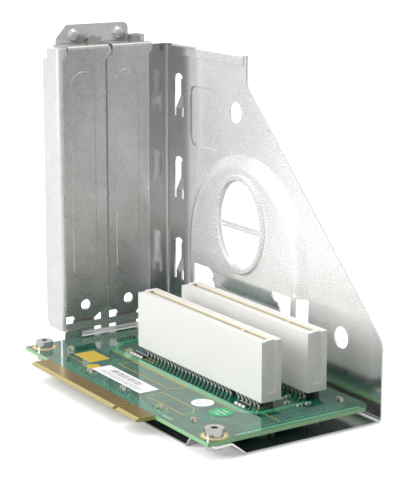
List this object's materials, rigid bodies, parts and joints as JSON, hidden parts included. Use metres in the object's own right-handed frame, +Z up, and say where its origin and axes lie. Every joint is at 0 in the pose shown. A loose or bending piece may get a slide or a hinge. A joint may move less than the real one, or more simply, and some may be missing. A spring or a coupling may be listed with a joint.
{
  "type": "riser card cage",
  "caption": "Folded steel riser cage with a green riser board, white card connectors and blank slot covers, for adding expansion cards to a low server chassis",
  "frame": {"origin": "bottom centre of the whole object's box, on the surface that the base stands on", "axes": "+X runs from the slot covers along the board, +Y from the board's contact edge to the side plate, +Z up"},
  "size_m": [0.152, 0.0846, 0.1337],
  "materials": {
    "galvanised_sheet": "satin zinc-coated sheet steel, slightly mottled",
    "frame_sheet": "satin zinc-coated sheet steel",
    "cover_sheet": "satin zinc-coated sheet steel, a little darker",
    "nickel_screw": "bright nickel plate",
    "zinc_nut": "zinc plate",
    "green_board": "glossy green solder mask over glass laminate",
    "gold_plating": "thin gold plate over nickel, smooth",
    "ivory_plastic": "moulded ivory-white thermoplastic, satin",
    "tinned_contact": "bright tin plate",
    "ceramic_chip": "fired ceramic with tinned ends",
    "dark_chip": "dark ceramic with tinned ends",
    "white_paper": "matt coated label stock",
    "green_paper": "matt coated label stock, green"
  },
  "bodies": {
    "root": {"board_nut_1": "zinc_nut", "board_nut_2": "zinc_nut", "board_screw_1": "nickel_screw", "board_screw_2": "nickel_screw", "connector_1_contacts": "tinned_contact", "connector_1_housing": "ivory_plastic", "connector_2_contacts": "tinned_contact", "connector_2_housing": "ivory_plastic", "cover_screw_1": "nickel_screw", "cover_screw_2": "nickel_screw", "edge_capacitors": "ceramic_chip", "edge_contacts_bottom": "gold_plating", "edge_contacts_top": "gold_plating", "green_sticker": "green_paper", "part_label": "white_paper", "rear_frame": "frame_sheet", "resistor_packs": "dark_chip", "riser_board": "green_board", "shelf_nut_1": "zinc_nut", "shelf_nut_2": "zinc_nut", "side_plate_and_base": "galvanised_sheet", "slot_chips": "ceramic_chip", "slot_cover_1": "cover_sheet", "slot_cover_2": "cover_sheet", "white_sticker": "white_paper"}
  },
  "joints": []
}
